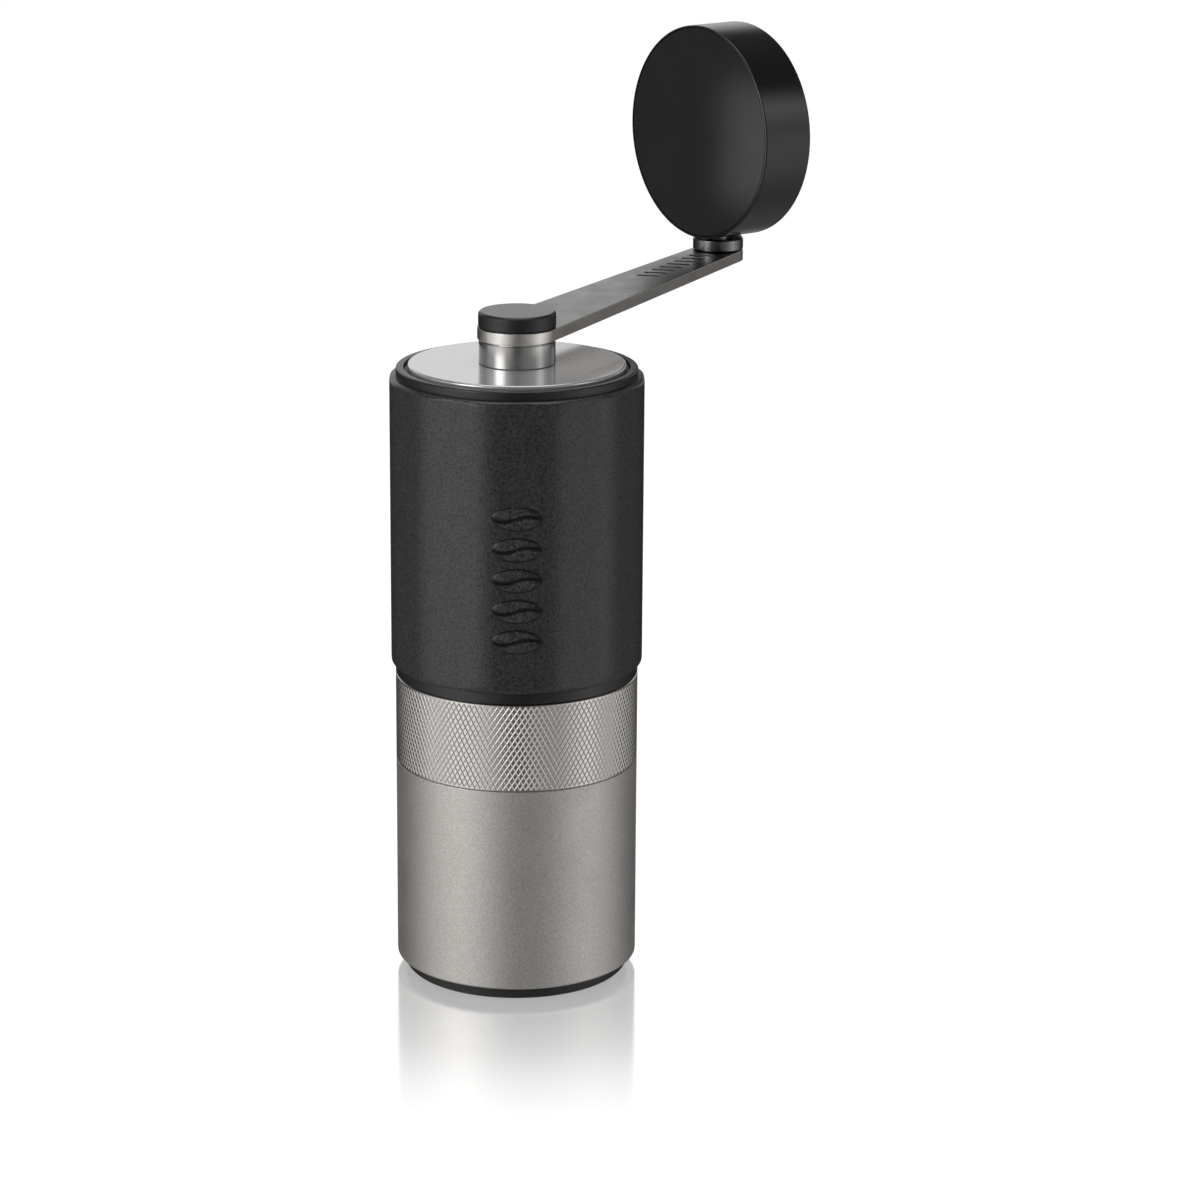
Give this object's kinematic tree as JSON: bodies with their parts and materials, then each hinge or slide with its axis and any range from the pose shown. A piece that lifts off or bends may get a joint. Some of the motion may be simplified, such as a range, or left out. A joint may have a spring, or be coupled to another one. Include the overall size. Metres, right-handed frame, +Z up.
{
  "type": "hand crank coffee grinder",
  "caption": "Slim upright hand coffee grinder: faceted grip sleeve, knurled screw-off catch cup, lift-off lid and a long top crank with a disc knob.",
  "frame": {"origin": "middle of the foot's underside, on the axis of the body", "axes": "+Z up along the body, -Y towards the front facet with the raised emblem; the crank rests about 62 degrees from +X towards +Y"},
  "size_m": [0.0933, 0.1395, 0.1937],
  "materials": {
    "blasted_aluminium": "bead blasted, clear anodised warm grey",
    "black_anodised": "satin black anodised",
    "brushed_steel": "fine brushed",
    "arm_steel": "lengthwise brushed, warm grey",
    "plain_steel": "turned, bright",
    "bearing_steel": "ground and polished",
    "cage_brass": "turned",
    "burr_steel": "hardened, machined",
    "spring_steel": "bright drawn",
    "sleeve_silicone": "matte, fine grain",
    "foot_rubber": "satin",
    "seal_rubber": "smooth",
    "soft_face": "soft touch, matte",
    "black_plastic": "moulded, satin",
    "cap_plastic": "grained top, smooth side",
    "bush_plastic": "turned, natural",
    "holder_alloy": "machined"
  },
  "bodies": {
    "housing": {"housing_tube": "brushed_steel", "top_ring": "black_anodised", "grip_sleeve": "sleeve_silicone", "lower_housing": "black_anodised", "upper_bearing_holder": "holder_alloy", "holder_screws": "plain_steel", "upper_bearing_outer_race": "bearing_steel", "upper_bearing_circlip": "plain_steel", "lower_bearing_holder": "holder_alloy", "lower_bearing_outer_race": "bearing_steel", "lower_bearing_circlip": "plain_steel", "burr_screws": "plain_steel", "outer_burr": "burr_steel"},
    "shaft": {"drive_shaft": "plain_steel", "upper_bearing_inner_race": "bearing_steel", "lower_bearing_inner_race": "bearing_steel", "shaft_clip": "plain_steel", "spring_washer": "plain_steel"},
    "upper_balls": {"upper_bearing_balls": "bearing_steel", "upper_bearing_cage": "cage_brass"},
    "lower_balls": {"lower_bearing_balls": "bearing_steel", "lower_bearing_cage": "cage_brass"},
    "burr_carrier": {"burr_carrier": "holder_alloy", "inner_burr": "burr_steel", "click_plate": "spring_steel", "burr_spring": "spring_steel"},
    "dial": {"adjustment_dial": "black_anodised", "dial_nut": "cage_brass", "click_balls": "bearing_steel", "click_springs": "spring_steel"},
    "lid": {"lid_plug": "black_plastic", "lid_plate": "brushed_steel", "lid_seal": "seal_rubber", "lid_bush": "bush_plastic"},
    "crank": {"crank_arm": "arm_steel", "crank_hub": "brushed_steel", "hub_screw": "plain_steel", "hub_cap": "cap_plastic", "hub_clip": "plain_steel", "knob_spindle": "plain_steel", "knob_collar": "black_anodised", "knob_clip": "plain_steel"},
    "knob": {"knob_core": "black_plastic", "knob_rim": "black_anodised", "knob_face_front": "soft_face", "knob_face_rear": "soft_face", "knob_bushes": "bush_plastic"},
    "gasket": {"cup_gasket": "seal_rubber"},
    "cup": {"catch_cup": "blasted_aluminium", "knurled_ring": "blasted_aluminium", "cup_foot": "foot_rubber"}
  },
  "joints": [
    {"name": "lid_lift", "type": "slide", "parent": "housing", "child": "lid", "axis": [0, 0, 1], "range_m": [0, 0.06]},
    {"name": "crank_turn", "type": "hinge", "parent": "lid", "child": "crank", "pos_m": [0, 0, 0.14], "axis": [0, 0, 1], "continuous": true},
    {"name": "knob_spin", "type": "hinge", "parent": "crank", "child": "knob", "pos_m": [0.04668, 0.08884, 0.155], "axis": [0, 0, 1], "continuous": true},
    {"name": "shaft_turn", "type": "hinge", "parent": "housing", "child": "shaft", "pos_m": [0, 0, 0.1], "axis": [0, 0, 1], "continuous": true},
    {"name": "upper_balls_turn", "type": "hinge", "parent": "housing", "child": "upper_balls", "pos_m": [0, 0, 0.1145], "axis": [0, 0, 1], "continuous": true},
    {"name": "lower_balls_turn", "type": "hinge", "parent": "housing", "child": "lower_balls", "pos_m": [0, 0, 0.0795], "axis": [0, 0, 1], "continuous": true},
    {"name": "burr_gap", "type": "slide", "parent": "shaft", "child": "burr_carrier", "axis": [0, 0, -1], "range_m": [-0.0005, 0.001], "deforming": ["burr_spring"]},
    {"name": "dial_turn", "type": "hinge", "parent": "burr_carrier", "child": "dial", "pos_m": [0, 0, 0.05], "axis": [0, 0, -1], "range_deg": [-181, 361]},
    {"name": "cup_drop", "type": "slide", "parent": "housing", "child": "gasket", "axis": [0, 0, -1], "range_m": [0, 0.026]},
    {"name": "cup_turn", "type": "hinge", "parent": "gasket", "child": "cup", "pos_m": [0, 0, 0.03], "axis": [0, 0, -1], "range_deg": [0, 1253]}
  ],
  "couplings": [
    {"joint": "shaft_turn", "follows": "crank_turn", "ratio": 1},
    {"joint": "upper_balls_turn", "follows": "crank_turn", "ratio": 0.404},
    {"joint": "lower_balls_turn", "follows": "crank_turn", "ratio": 0.404},
    {"joint": "dial_turn", "follows": "burr_gap", "rad_per_m": 6283.2},
    {"joint": "cup_turn", "follows": "cup_drop", "rad_per_m": 837.76}
  ]
}
